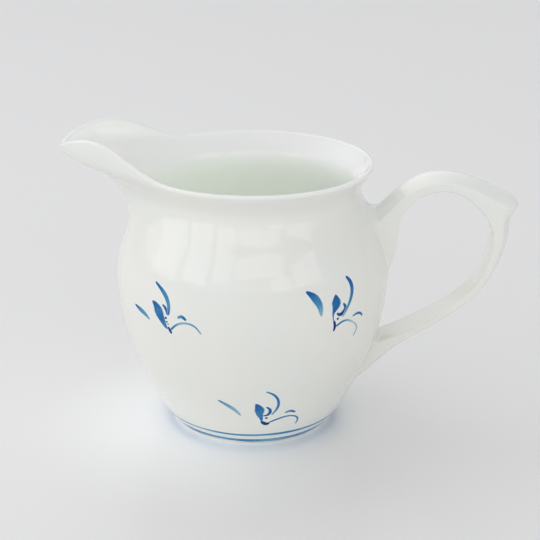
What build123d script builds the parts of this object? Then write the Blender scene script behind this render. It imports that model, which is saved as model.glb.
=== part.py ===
from build123d import *
import os
from math import atan2, cos, exp, hypot, radians, sin

# Porcelain cream jug, millimetres.  Origin at the centre of the resting plane, +Z up,
# pouring spout towards -X, handle towards +X, symmetric about the XZ plane.

os.makedirs("parts", exist_ok=True)

# ---- driving dimensions -------------------------------------------------------------------
BELLY_RADIUS = 40.0        # widest radius of the cast body
RIM_HEIGHT = 79.2          # top of the level part of the rim
WALL = 2.0                 # wall thickness, square to the surface
RIM_EDGE = 0.7             # rounding of the rim's two edges
SPOUT_SPREAD = 22.1        # degrees from the spout's middle to where its bulge has faded by 1/e
SPOUT_FADE_POWER = 1.5     # how sharply the bulge fades sideways

FOOT_RADIUS = 23.8         # outer radius of the foot ring on the table
FOOT_WIDTH = 2.6           # width of the unglazed ring that touches the table
FOOT_RECESS = 1.6          # height of the hollow under the floor
FOOT_EDGE = 0.6            # rounding of the foot ring's outer edge
FLOOR_TOP = 4.4            # height of the inside floor

ROUND_TOP = 56.0           # below this height the body is a plain surface of revolution
SPOUT_TOP = 90.0           # the spout sections run up to here before the rim is cut

HANDLE_WIDTH = 11.5        # strap width, across the jug
SLIP_GAP = 0.4             # thickness of the slip layer between handle and body
SLIP_FILLET = 1.6          # radius of the slip wiped round each root
PAINT = 0.12               # thickness of the painted decoration

# ---- body outline: (height, radius) -------------------------------------------------------
# The round part, from the foot's edge to the height where the spout starts to grow.
ROUND_OUTLINE = [
    (FOOT_EDGE, FOOT_RADIUS),
    (4.7, 26.9),
    (9.4, 29.6),
    (15.7, 32.6),
    (25.2, 36.5),
    (35.4, 39.1),
    (45.7, BELLY_RADIUS),
    (ROUND_TOP, 38.15),
]
# The neck and the turned-out lip, away from the spout.
NECK_OUTLINE = ROUND_OUTLINE + [
    (63.0, 34.9),
    (68.5, 32.2),
    (72.5, 31.6),
    (75.5, 33.1),
    (77.5, 34.5),
    (79.0, 35.3),
    (SPOUT_TOP, 35.8),
]
# How far the spout's middle reaches from the axis at each height.
SPOUT_OUTLINE = [
    (50.0, 39.5),
    (ROUND_TOP, 38.15),
    (60.0, 36.6),
    (63.0, 36.3),
    (66.7, 36.5),
    (70.0, 37.9),
    (73.0, 40.1),
    (75.2, 42.6),
    (76.8, 45.0),
    (78.0, 48.1),
    (79.2, 51.4),
    (81.0, 54.2),
    (84.0, 56.2),
    (SPOUT_TOP, 56.4),
]
# Side view of the rim: (x, height).  The spout rises in two shoulders and dips at its tip.
RIM_LINE = [
    (-58.0, 79.3),
    (-55.5, 83.4),
    (-52.0, 86.0),
    (-48.0, 87.4),
    (-44.0, 87.8),
    (-38.0, 86.3),
    (-31.0, 82.6),
    (-25.0, 80.1),
    (-19.0, 79.3),
    (-10.0, RIM_HEIGHT),
    (42.0, RIM_HEIGHT),
]
SECTION_HEIGHTS = [59, 62, 65, 68, 70.5, 73, 75, 76.7, 78.2, 79.7, 81.5, 83.5, 85.5, 87.5, SPOUT_TOP]
SECTION_ANGLES = [0, 6, 12, 18, 25, 33, 42, 55, 70, 90, 112, 135, 158]
# The inside floor as (radius, height), and the heights where the inner wall is read above it.
FLOOR_OUTLINE = [(0, FLOOR_TOP), (13.0, FLOOR_TOP + 0.1), (20.5, FLOOR_TOP + 1.6), (25.6, FLOOR_TOP + 4.6)]
INNER_HEIGHTS = [15.0, 25.0, 35.0, 45.0]
SLOPE_STEP = 0.05          # half the height step over which the wall's slope is measured
HALVINGS = 30              # how often the search for the inner wall's height is halved

# The cut above the rim runs from beyond the spout to beyond the neck, and right across the jug.
CUT_LEFT = -75.0
CUT_RIGHT = 60.0
CUT_TOP = SPOUT_TOP + 5
CUT_HALF_WIDTH = 60.0
RIM_EDGE_LENGTH = 100.0    # the rim's two edges are the only ones up there longer than this

# ---- handle outlines in the XZ plane ------------------------------------------------------
# The outer crest, from the lower root, round the thumb spur, to the upper root.
HANDLE_CREST_LOWER = [
    (27.0, 9.0),
    (31.2, 11.6),
    (36.0, 15.8),
    (42.9, 22.4),
    (50.0, 27.3),
    (60.0, 34.2),
    (67.0, 40.8),
    (72.2, 50.0),
    (74.5, 58.5),
    (74.6, 63.4),
]
SPUR_TIP = (77.0, 67.3)
HANDLE_CREST_UPPER = [
    (74.6, 69.4),
    (68.0, 73.0),
    (62.5, 75.6),
    (56.0, 76.9),
    (49.0, 76.0),
    (43.0, 72.6),
    (38.0, 67.6),
    (31.0, 61.0),
]
# The inner face, round the finger opening.
HANDLE_INNER = [
    (30.0, 42.0),
    (39.4, 48.3),
    (41.9, 53.5),
    (42.3, 59.5),
    (44.8, 66.6),
    (49.8, 70.8),
    (55.2, 72.1),
    (60.8, 70.6),
    (66.2, 65.8),
    (69.3, 60.0),
    (69.1, 53.5),
    (66.8, 46.6),
    (62.6, 40.6),
    (53.0, 33.2),
    (43.0, 27.9),
    (30.0, 22.5),
]
# Across the strap: (distance from the middle, drop of the crest, drop of the inner face).
STRAP_STATIONS = [
    (HANDLE_WIDTH / 2, 1.75, 0.75),
    (HANDLE_WIDTH / 2 - 0.5, 1.25, 0.3),
    (HANDLE_WIDTH / 2 - 1.9, 0.7, 0.05),
    (0.0, 0.0, 0.0),
]
CREST_SAMPLES = 14         # points read along each crest outline for a section
INNER_SAMPLES = 24         # points read along the inner face for a section
SPUR_SETBACK = 0.75        # how much faster the spur's tip draws back than the crest drops

# ---- painted decoration -------------------------------------------------------------------
# Foot bands: (middle height, width).
LOWER_BAND = (1.75, 0.95)
UPPER_BAND = (4.55, 0.65)

# Orchid sprays.  Each brush stroke is a list of (right, up, width) points on a plane that
# touches the body at the spray's middle, and each dot is (right, up, width, height).
LEFT_STROKES = {
    "leaf": [(-13.0, 0.3, 0.3), (-10.3, -0.5, 1.3), (-8.0, -1.3, 1.1), (-6.4, -2.3, 0.3)],
    "bud": [
        (-5.1, 3.8, 0.2),
        (-3.6, 2.8, 2.0),
        (-2.6, 1.3, 2.9),
        (-1.6, -0.6, 2.2),
        (-0.4, -2.4, 1.1),
        (0.3, -3.4, 0.3),
    ],
    "stamen": [(-1.2, 3.7, 0.3), (-0.1, 2.9, 0.65), (0.6, 0.9, 0.3)],
    "petal": [(-4.3, 9.4, 0.25), (-1.6, 7.7, 0.9), (0.2, 5.9, 1.2), (1.0, 4.0, 1.0), (0.9, 1.0, 0.3)],
    "stem": [(0.6, -2.5, 0.4), (1.2, -3.5, 0.6), (1.7, -4.5, 0.3)],
    "blade": [(1.6, -3.2, 0.3), (3.2, -1.6, 0.4), (5.6, -0.4, 0.4), (9.2, -0.7, 0.35), (11.1, -2.8, 0.2)],
    "sprig": [(4.0, 0.8, 0.25), (5.3, 1.5, 0.7), (6.8, 0.6, 0.4)],
}
LEFT_DOTS = [(0.0, 0.0, 0.7, 0.7), (0.3, -1.1, 0.5, 0.5), (0.7, -1.7, 0.4, 0.4)]
RIGHT_STROKES = {
    "leaf": [(-9.1, 9.1, 0.3), (-6.9, 7.2, 1.8), (-5.4, 4.6, 1.7), (-4.9, 1.4, 0.3)],
    "bud": [
        (0.0, 6.8, 0.2),
        (0.0, 5.6, 1.8),
        (0.05, 4.4, 3.1),
        (-0.3, 3.0, 2.0),
        (-0.9, 1.7, 0.6),
        (-0.4, -2.0, 0.3),
    ],
    "hook": [(2.5, 3.7, 0.4), (3.3, 2.4, 0.8), (2.4, 1.0, 0.9), (0.9, 0.8, 0.6), (0.2, 1.4, 0.3)],
    "petal": [(4.3, 10.8, 0.25), (5.6, 9.2, 0.9), (6.1, 7.0, 1.05), (5.1, 3.8, 0.8), (2.3, -0.3, 0.25)],
    "stem": [(-0.7, -0.7, 0.4), (-0.3, -2.5, 0.6), (-0.6, -4.0, 0.3)],
    "blade": [(0.1, -2.6, 0.3), (3.2, -1.6, 0.35), (6.4, -2.9, 0.35), (8.4, -5.3, 0.3), (7.3, -7.7, 0.2)],
    "sprig": [(6.2, -1.1, 0.25), (7.9, -0.8, 0.5), (9.4, -1.1, 0.5), (10.5, -2.3, 0.3)],
}
RIGHT_DOTS = [(0.6, -0.4, 0.8, 0.8)]
LOW_STROKES = {
    "leaf": [(-13.7, 6.0, 0.3), (-11.3, 4.7, 1.0), (-9.0, 3.0, 1.0), (-7.2, 0.8, 0.3)],
    "bud": [
        (-3.2, 6.3, 0.2),
        (-2.6, 5.2, 1.5),
        (-2.1, 3.8, 2.7),
        (-1.9, 1.8, 1.8),
        (-1.4, 0.0, 0.9),
        (-1.2, -1.3, 0.3),
    ],
    "hook": [(-0.2, 4.9, 0.3), (0.9, 3.7, 0.6), (0.9, 2.1, 0.7), (0.1, 1.4, 0.3)],
    "petal": [(-0.6, 11.3, 0.25), (1.3, 10.2, 0.5), (3.0, 7.6, 0.55), (3.1, 4.4, 0.55), (1.5, 1.3, 0.25)],
    "stem": [(-0.9, -1.8, 0.3), (0.0, -2.9, 0.9), (0.8, -2.9, 0.4)],
    "blade": [(1.1, -2.0, 0.3), (4.6, -0.5, 0.45), (7.4, -0.5, 0.4), (9.4, -2.4, 0.35), (9.0, -5.1, 0.2)],
    "sprig": [(5.3, 1.4, 0.3), (7.0, 1.8, 0.7), (8.5, 0.7, 0.3)],
}
LOW_DOTS = [(0.1, 0.0, 1.0, 0.6)]
# Each spray: (angle from the handle, height, strokes, dots).
SPRAY_LEFT = (-123.8, 43.3, LEFT_STROKES, LEFT_DOTS)
SPRAY_RIGHT = (-51.9, 43.6, RIGHT_STROKES, RIGHT_DOTS)
SPRAY_LOW = (-79.9, 11.9, LOW_STROKES, LOW_DOTS)
STROKE_STEPS = 8           # how finely a stroke's outline is drawn
STROKE_REACH = 12.0        # how far the strokes are pushed either way, to pass through the skin
BACK_TURN = 180.0          # the back carries the same three sprays, turned half round


def smooth(points, x):
    """Read a smooth curve through (x, y) points at x (cubic pieces with shared slopes)."""
    xs = [p[0] for p in points]
    ys = [p[1] for p in points]
    if x <= xs[0]:
        return ys[0]
    if x >= xs[-1]:
        return ys[-1]
    slopes = []
    for i in range(len(points)):
        before = max(i - 1, 0)
        after = min(i + 1, len(points) - 1)
        slopes.append((ys[after] - ys[before]) / (xs[after] - xs[before]))
    i = max(k for k in range(len(xs) - 1) if xs[k] <= x)
    step = xs[i + 1] - xs[i]
    t = (x - xs[i]) / step
    return (
        (2 * t**3 - 3 * t**2 + 1) * ys[i]
        + (t**3 - 2 * t**2 + t) * step * slopes[i]
        + (3 * t**2 - 2 * t**3) * ys[i + 1]
        + (t**3 - t**2) * step * slopes[i + 1]
    )


def outer_radius(angle, z):
    """Outside radius at a height, at an angle in degrees from the spout's middle."""
    plain = smooth(NECK_OUTLINE, z)
    bulge = smooth(SPOUT_OUTLINE, z) - plain
    return plain + bulge * exp(-((abs(angle) / SPOUT_SPREAD) ** SPOUT_FADE_POWER))


def inner_radius(angle, z):
    """Inside radius at a height: the outer wall moved in by WALL, square to itself."""
    low, high = z - 1.2 * WALL, z + 1.2 * WALL
    for _ in range(HALVINGS):
        middle = (low + high) / 2
        above = outer_radius(angle, middle + SLOPE_STEP)
        below = outer_radius(angle, middle - SLOPE_STEP)
        slope = (above - below) / (2 * SLOPE_STEP)
        tilt = atan2(slope, 1.0)
        if middle + WALL * sin(tilt) < z:
            low = middle
        else:
            high = middle
    return outer_radius(angle, middle) - WALL * cos(tilt)


def level_points(radius_at, z):
    """Points round a level section, starting on the handle side."""
    around = [180] + SECTION_ANGLES[::-1] + [-angle for angle in SECTION_ANGLES[1:]]
    points = []
    for angle in around:
        r = radius_at(angle, z)
        points.append((-r * cos(radians(angle)), -r * sin(radians(angle))))
    return points


def outline_xz(points):
    """Turn (height, radius) pairs into points for an XZ sketch."""
    return [(r, z) for z, r in points]


def shifted(curve, drop, count):
    """Points along a curve, moved square to it by drop (to its left for a positive drop)."""
    moved = []
    for i in range(count):
        u = i / (count - 1)
        place = curve.position_at(u)
        along = curve.tangent_at(u)
        moved.append((place.X - along.Y * drop, place.Y + along.X * drop))
    return moved


def paint_skin():
    """The thin skin of paint on the round part of the body, as a (radius, height) sketch."""
    with BuildSketch() as skin:
        with BuildLine():
            under = Spline(*outline_xz(ROUND_OUTLINE))
            over = Spline(*[(r + PAINT, z) for z, r in ROUND_OUTLINE])
            Line(under @ 0, over @ 0)
            Line(under @ 1, over @ 1)
        make_face()
    return skin.sketch


def stroke_shape(stroke):
    """One brush stroke: a smooth middle line, widened on both sides by the brush's width."""
    middle = Spline(*[(x, y) for x, y, _ in stroke], mode=Mode.PRIVATE)
    travel = [0.0]
    for (x0, y0, _), (x1, y1, _) in zip(stroke, stroke[1:]):
        travel.append(travel[-1] + hypot(x1 - x0, y1 - y0))
    widths = [(t / travel[-1], width) for t, (_, _, width) in zip(travel, stroke)]
    left = []
    right = []
    for i in range(STROKE_STEPS + 1):
        u = i / STROKE_STEPS
        place = middle.position_at(u)
        along = middle.tangent_at(u)
        half = smooth(widths, u) / 2
        left.append((place.X - along.Y * half, place.Y + along.X * half))
        right.append((place.X + along.Y * half, place.Y - along.X * half))
    with BuildSketch() as shape:
        with BuildLine():
            one = Spline(*left)
            other = Spline(*right)
            Line(one @ 0, other @ 0)
            Line(one @ 1, other @ 1)
        make_face()
    return shape.sketch


def spray_shape(spray, turn):
    """Every stroke and dot of a spray on its plane, turned round the jug by turn degrees."""
    angle, height, strokes, dots = spray
    around = radians(angle + turn)
    slope = (smooth(ROUND_OUTLINE, height + 1) - smooth(ROUND_OUTLINE, height - 1)) / 2
    r = smooth(ROUND_OUTLINE, height)
    plane = Plane(
        origin=(r * cos(around), r * sin(around), height),
        x_dir=(-sin(around), cos(around), 0),
        z_dir=(cos(around), sin(around), -slope),
    )
    brushed = [stroke_shape(stroke) for stroke in strokes.values()]
    with BuildSketch(plane) as shape:
        add(brushed)
        for x, y, width, tall in dots:
            with Locations((x, y)):
                Ellipse(width / 2, tall / 2)
    return shape.sketch


# ---- jug body -----------------------------------------------------------------------------
# The outer form, before it is hollowed: a turned lower part and a neck that grows the spout.
with BuildPart() as solid_body:
    with BuildSketch(Plane.XZ):
        with BuildLine():
            wall = Spline(*outline_xz(ROUND_OUTLINE))
            Line(wall @ 1, (0, ROUND_TOP))
            Line((0, ROUND_TOP), (0, FOOT_RECESS))
            Line((0, FOOT_RECESS), (FOOT_RADIUS - FOOT_WIDTH - FOOT_RECESS, FOOT_RECESS))
            Line((FOOT_RADIUS - FOOT_WIDTH - FOOT_RECESS, FOOT_RECESS), (FOOT_RADIUS - FOOT_WIDTH, 0))
            Line((FOOT_RADIUS - FOOT_WIDTH, 0), (FOOT_RADIUS - FOOT_EDGE, 0))
            Line((FOOT_RADIUS - FOOT_EDGE, 0), wall @ 0)
        make_face()
    revolve(axis=Axis.Z)
    with BuildSketch(Plane.XY.offset(ROUND_TOP)):
        Circle(smooth(NECK_OUTLINE, ROUND_TOP))
    for height in SECTION_HEIGHTS:
        with BuildSketch(Plane.XY.offset(height)):
            with BuildLine():
                Spline(*level_points(outer_radius, height), periodic=True)
            make_face()
    loft()

with BuildPart() as jug_body:
    add(solid_body.part)
    # the hollow inside
    with BuildSketch(Plane.XZ):
        with BuildLine():
            inner_wall = Spline(
                *FLOOR_OUTLINE,
                *[(inner_radius(180, z), z) for z in INNER_HEIGHTS],
                (inner_radius(180, ROUND_TOP), ROUND_TOP),
                tangents=((1, 0), (inner_radius(180, ROUND_TOP) - inner_radius(180, ROUND_TOP - 1), 1)),
            )
            Line(inner_wall @ 1, (0, ROUND_TOP))
            Line((0, ROUND_TOP), (0, FLOOR_TOP))
        make_face()
    revolve(axis=Axis.Z, mode=Mode.SUBTRACT)
    with BuildSketch(Plane.XY.offset(ROUND_TOP)):
        Circle(inner_radius(180, ROUND_TOP))
    for height in SECTION_HEIGHTS:
        with BuildSketch(Plane.XY.offset(height)):
            with BuildLine():
                Spline(*level_points(inner_radius, height), periodic=True)
            make_face()
    loft(mode=Mode.SUBTRACT)
    # everything above the rim line
    with BuildSketch(Plane.XZ):
        with BuildLine():
            rim = Spline(*RIM_LINE)
            Polyline(rim @ 1, (CUT_RIGHT, CUT_TOP), (CUT_LEFT, CUT_TOP), rim @ 0)
        make_face()
    extrude(amount=CUT_HALF_WIDTH, both=True, mode=Mode.SUBTRACT)
    high_edges = jug_body.edges().filter_by(lambda e: e.center().Z > RIM_HEIGHT - RIM_EDGE)
    rim_edges = high_edges.filter_by(lambda e: e.length > RIM_EDGE_LENGTH)
    fillet(rim_edges, radius=RIM_EDGE)
jug_body.part.label = "jug_body"
export_step(jug_body.part, "parts/jug_body.step")

# ---- handle -------------------------------------------------------------------------------
# The body away from the spout, grown by the slip layer: the handle's ends are cut to this.
with BuildPart() as slipped_body:
    with BuildSketch(Plane.XZ):
        with BuildLine():
            grown = Spline(*[(r + SLIP_GAP, z) for z, r in NECK_OUTLINE[:-1]])
            Polyline(grown @ 1, (0, grown.position_at(1).Y), (0, FOOT_EDGE), grown @ 0)
        make_face()
    revolve(axis=Axis.Z)

crest_lower = Spline(*HANDLE_CREST_LOWER)
crest_upper = Spline(*HANDLE_CREST_UPPER)
inner_face = Spline(*HANDLE_INNER)

with BuildPart() as handle_casting:
    near_side = [(-y, crest, inner) for y, crest, inner in STRAP_STATIONS]
    far_side = list(reversed(STRAP_STATIONS[:-1]))
    for y, crest_drop, inner_drop in near_side + far_side:
        with BuildSketch(Plane.XZ.offset(-y)):
            with BuildLine():
                low = Spline(*shifted(crest_lower, crest_drop, CREST_SAMPLES))
                high = Spline(*shifted(crest_upper, crest_drop, CREST_SAMPLES))
                tip = (SPUR_TIP[0] - crest_drop * (1 + SPUR_SETBACK), SPUR_TIP[1])
                Spline(low @ 1, tip, high @ 0)
                inside = Spline(*shifted(inner_face, inner_drop, INNER_SAMPLES))
                Line(high @ 1, inside @ 0)
                Line(inside @ 1, low @ 0)
            make_face()
    loft()

with BuildPart() as handle:
    add(handle_casting.part)
    add(slipped_body.part, mode=Mode.SUBTRACT)
handle.part.label = "handle"
export_step(handle.part, "parts/handle.step")

# ---- luted slip joints --------------------------------------------------------------------
# Slip fills the gap behind each handle end and is wiped to a fillet round it.
with BuildPart() as slip:
    add(solid_body.part)
    add(handle_casting.part)
    junction = slip.edges(Select.NEW)
    fillet(junction, radius=SLIP_FILLET)
    add(solid_body.part, mode=Mode.SUBTRACT)
    add(handle.part, mode=Mode.SUBTRACT)
lower_slip, upper_slip = slip.solids().sort_by(Axis.Z)

with BuildPart() as upper_slip_joint:
    add(upper_slip)
upper_slip_joint.part.label = "upper_slip_joint"
export_step(upper_slip_joint.part, "parts/upper_slip_joint.step")

with BuildPart() as lower_slip_joint:
    add(lower_slip)
lower_slip_joint.part.label = "lower_slip_joint"
export_step(lower_slip_joint.part, "parts/lower_slip_joint.step")

# ---- foot bands ---------------------------------------------------------------------------
with BuildPart() as foot_band_lower:
    with BuildSketch(Plane.XZ):
        add(paint_skin())
        with Locations((FOOT_RADIUS, LOWER_BAND[0])):
            Rectangle(2 * FOOT_RADIUS, LOWER_BAND[1], mode=Mode.INTERSECT)
    revolve(axis=Axis.Z)
foot_band_lower.part.label = "foot_band_lower"
export_step(foot_band_lower.part, "parts/foot_band_lower.step")

with BuildPart() as foot_band_upper:
    with BuildSketch(Plane.XZ):
        add(paint_skin())
        with Locations((FOOT_RADIUS, UPPER_BAND[0])):
            Rectangle(2 * FOOT_RADIUS, UPPER_BAND[1], mode=Mode.INTERSECT)
    revolve(axis=Axis.Z)
foot_band_upper.part.label = "foot_band_upper"
export_step(foot_band_upper.part, "parts/foot_band_upper.step")

# ---- orchid sprays ------------------------------------------------------------------------
with BuildPart() as paint_shell:
    with BuildSketch(Plane.XZ):
        add(paint_skin())
    revolve(axis=Axis.Z)

sprays = {
    "spray_left": (SPRAY_LEFT, 0),
    "spray_right": (SPRAY_RIGHT, 0),
    "spray_low": (SPRAY_LOW, 0),
    "spray_back_left": (SPRAY_LEFT, BACK_TURN),
    "spray_back_right": (SPRAY_RIGHT, BACK_TURN),
    "spray_back_low": (SPRAY_LOW, BACK_TURN),
}
for name, (spray, turn) in sprays.items():
    with BuildPart() as painted:
        extrude(spray_shape(spray, turn), amount=STROKE_REACH, both=True)
        add(paint_shell.part, mode=Mode.INTERSECT)
    painted.part.label = name
    export_step(painted.part, f"parts/{name}.step")
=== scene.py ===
from math import ceil, cos, pi, radians, sin, tan

import bpy
import numpy as np
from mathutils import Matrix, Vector


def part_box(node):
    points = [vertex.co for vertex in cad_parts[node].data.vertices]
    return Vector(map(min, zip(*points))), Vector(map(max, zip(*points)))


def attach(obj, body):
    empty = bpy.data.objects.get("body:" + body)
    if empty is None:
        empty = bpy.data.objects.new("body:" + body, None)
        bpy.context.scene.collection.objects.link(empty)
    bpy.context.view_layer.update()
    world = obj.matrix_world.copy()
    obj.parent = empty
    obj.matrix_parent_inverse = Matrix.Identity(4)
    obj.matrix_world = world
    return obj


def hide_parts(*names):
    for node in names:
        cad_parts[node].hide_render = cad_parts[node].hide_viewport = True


# Looks for the porcelain cream jug.  Shapes are worked out in millimetres in the frame's axes
# (spout towards -X, handle towards +X, +Z up) and turned into metres when a mesh is made.

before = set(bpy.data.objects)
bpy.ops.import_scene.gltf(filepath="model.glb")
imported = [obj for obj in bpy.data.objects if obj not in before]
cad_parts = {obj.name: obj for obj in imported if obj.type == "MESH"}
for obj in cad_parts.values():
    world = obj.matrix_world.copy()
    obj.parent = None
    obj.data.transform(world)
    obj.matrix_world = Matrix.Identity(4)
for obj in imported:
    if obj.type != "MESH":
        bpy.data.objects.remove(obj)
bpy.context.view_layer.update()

MM = 0.001

# ---- sizes read from the frame ------------------------------------------------------------
body_low, body_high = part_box("jug_body")
_, handle_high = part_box("handle")
SPOUT_REACH = -body_low.x / MM        # from the axis to the spout's tip
BELLY_RADIUS = body_high.y / MM
SHOULDER_HEIGHT = body_high.z / MM    # top of the spout's shoulders
HALF_STRAP = handle_high.y / MM       # half the handle's width

# ---- jug body -----------------------------------------------------------------------------
WALL = 2.0                  # wall thickness, square to the surface
LIP = 1.4                   # thickness of the rounded lip
LIP_TAPER = 7.0             # height over which the wall thins towards the lip
SPOUT_SPREAD = 22.1         # degrees from the spout's middle to where its bulge has faded by 1/e
SPOUT_FADE_POWER = 1.5      # how sharply the bulge fades sideways
SPOUT_ROUNDING = 4.0        # degrees over which the spout's middle is rounded off
SPOUT_START = 52.0          # height where the spout begins to grow
SPOUT_GROWTH = 8.0          # height over which it joins in
RING_TOP = 50.0             # up to here the mesh rows are level rings
FOOT_TOP = 0.6              # the wall's outline starts here, above the foot's rounded edge

# Outlines as (height, radius).
WALL_OUTLINE = [
    (FOOT_TOP, 23.8), (4.7, 26.9), (9.4, 29.6), (15.7, 32.6), (25.2, 36.5), (35.4, 39.1),
    (45.7, BELLY_RADIUS), (56.0, 38.15), (63.0, 34.9), (68.5, 32.2), (72.5, 31.6), (75.5, 33.1),
    (77.5, 34.5), (79.0, 35.3), (81.5, 35.6), (90.0, 35.8),
]
SPOUT_OUTLINE = [
    (50.0, 39.5), (56.0, 38.15), (60.0, 36.6), (63.0, 36.3), (66.7, 36.5), (70.0, 37.9),
    (73.0, 40.1), (75.2, 42.6), (76.8, 45.0), (78.0, 48.1), (79.2, 51.4), (81.0, 54.2),
    (84.0, SPOUT_REACH + 0.4), (90.0, SPOUT_REACH + 0.6),
]
# Side view of the rim as (x, height).
RIM_LINE = [
    (-58.0, 79.3), (-55.5, 83.4), (-52.0, 86.0), (-48.0, 87.4), (-44.0, SHOULDER_HEIGHT),
    (-38.0, 86.3), (-31.0, 82.6), (-25.0, 80.1), (-19.0, 79.3), (-10.0, 79.2), (5.0, 79.2),
    (20.0, 79.2), (42.0, 79.2),
]
# Under the foot, from the resting ring to the middle, and the inside floor, as (radius, height).
UNDERSIDE = [
    (22.0, 0.0), (21.5, 0.02), (21.05, 0.2), (20.5, 0.8), (20.0, 1.3), (19.5, 1.55), (18.7, 1.6),
    (12.0, 1.6), (6.0, 1.6), (0.4, 1.6),
]
FLOOR = [(25.6, 9.0), (20.5, 6.0), (13.0, 4.5), (0.4, 4.4)]
FLOOR_JOIN = 12.0           # outside height below which the inside turns into the floor

# Slow unevenness of the hand-finished wall: (waves round, waves per mm of height, depth in mm).
WALL_WAVES = [(3, 0.011, 0.055), (5, -0.017, 0.04), (8, 0.026, 0.02), (13, 0.043, 0.008)]

COLUMNS = 320               # mesh columns round the body,
SPOUT_CROWDING = 0.45       # and how much closer they stand at the spout
LOWER_ROWS = 62             # mesh rows up to RING_TOP
UPPER_ROWS = 84             # and from there to the lip
LIP_STEPS = 12              # facets over the rounded lip
EDGE_STEPS = 6              # facets round the foot's outer edge
FLOOR_ROWS = 26             # mesh rings across the inside floor
FINE = 400                  # samples along a line that is then divided evenly
LIP_SEARCH = (70.0, 92.0)   # heights between which the lip lies
HALVINGS = 40               # times that range is halved
BARE_RING = (20.6, 23.4)    # radii between which the foot is unglazed
BARE_HEIGHT = 0.35          # and how far up
BARE_FADE = (0.4, 0.25)     # how softly the glaze ends, across and up

# ---- handle -------------------------------------------------------------------------------
# Cross-sections from the lower root round to the upper root: (crest x, z, inner face x, z).
RIBS = [
    (22.5, 6.6, 14.5, 16.4), (27.0, 9.0, 21.5, 19.2), (31.2, 11.6, 26.1, 21.0),
    (36.0, 15.8, 31.4, 23.0), (42.9, 22.4, 40.2, 26.6), (50.0, 27.3, 48.2, 30.5),
    (60.0, 34.2, 58.0, 36.6), (67.0, 40.8, 64.4, 42.7), (72.2, 50.0, 68.5, 51.2),
    (74.5, 58.5, 69.5, 58.4), (74.2, 63.8, 68.7, 62.0), (72.3, 68.6, 66.9, 64.9),
    (68.0, 73.0, 64.1, 68.1), (62.5, 75.6, 60.4, 70.8), (56.0, 76.9, 55.7, 72.1),
    (49.0, 76.0, 50.6, 71.2), (43.0, 72.6, 46.5, 68.6), (38.0, 67.6, 43.5, 64.2),
    (34.5, 64.0, 42.3, 59.0), (31.0, 61.0, 41.9, 53.5), (27.5, 58.0, 39.4, 48.3),
    (23.5, 54.5, 33.0, 43.8),
]
# Half a cross-section: (share of the half width, depth below the crest in mm), then the same
# above the inner face.  Together they give a crowned top, a crisp edge and a soft inner edge.
CREST_SHAPE = [
    (0.0, 0.0), (0.2, 0.08), (0.4, 0.36), (0.6, 0.84), (0.75, 1.32), (0.87, 1.74), (0.93, 1.93),
    (0.972, 2.1), (0.993, 2.34), (1.0, 2.65),
]
INNER_SHAPE = [
    (1.0, 0.75), (0.99, 0.44), (0.965, 0.22), (0.92, 0.1), (0.84, 0.05), (0.7, 0.02), (0.5, 0.0),
    (0.25, 0.0), (0.0, 0.0),
]
FULL_THICKNESS = 4.8        # the section shape shrinks where the strap is thinner than this,
LEAST_SHAPE = 0.6           # down to this share
CREST_COLUMNS = 25          # mesh columns over half the crest and half the inner face,
INNER_COLUMNS = 20
EDGE_CROWDING = 1.7         # closer together where the section turns fast
TONGUE_REACH = 3.3          # how far the thumb rest stands out
TONGUE_PLACE = (73.7, 66.0)     # where on the crest it stands
TONGUE_ABOVE = 5.0          # its fade along the crest, above and below, in mm
TONGUE_BELOW = 1.6
TONGUE_RISE = 0.55          # how much it is lifted for each mm it stands out
ROOT_DEPTH = 0.8            # how deep the handle's ends are set below the wall's surface
ROW_STEP = 0.45             # mesh row spacing along the handle
LOW_ZONE = 42.0             # length of strap whose rows lean to the lower root's cut
HIGH_ZONE = 52.0            # and to the upper root's
ROOT_SEARCH = 60.0          # length of strap in which its entry into the wall is looked for,
ROOT_SAMPLES = 1200         # and the samples along it
TONGUE_SAMPLES = 2000       # samples along the strap to find the thumb rest's place

LOWER_SLIP_REACH = 3.0      # how far the slip is wiped out over the handle and over the body
UPPER_SLIP_REACH = 5.0
SIDE_SLIP_REACH = 1.8       # the same at the strap's edges
SLIP_HOLD = 0.55            # how far its face is drawn into the corner: 0 is flat, 1 is sharp
SLIP_STEPS = 10             # facets across its face
SLIP_SINK = 0.01            # its edges lie this far under the surfaces they meet
SLIP_DEPTH = 0.5            # and its hidden corner this far
SLIP_SEARCH = 2.5           # its edge on the handle is looked for within this many reaches,
SLIP_SAMPLES = 60           # with this many samples

# ---- paint --------------------------------------------------------------------------------
FILM = 0.035                # height of the paint over the wall
FILM_SINK = 0.03            # depth of its hidden underside below the wall
FILM_COLUMNS = 9            # mesh columns across a mark
BRUSH_GROWTH = 1.15         # paint runs wider under the glaze than the brush laid it
BRUSH_SPREAD = 0.3          # and by this much more, in mm, for a spray's strokes
BAND_SPREAD = {"foot_band_lower": 0.32, "foot_band_upper": 0.16}    # the same at a band's edges
BAND_COLUMNS = 720          # mesh columns round a foot band
# Unevenness of the bands, as (waves round, shift in phases, depth): height in mm, width and ink.
BAND_SWAY = [(2, 1, 0.05), (5, 2, 0.03)]
BAND_SWELL = [(3, 1, 0.1), (7, 3, 0.07), (17, 0, 0.05)]
BAND_LOAD = [(2, 1.7, 0.1), (9, 1, 0.06)]


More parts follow.
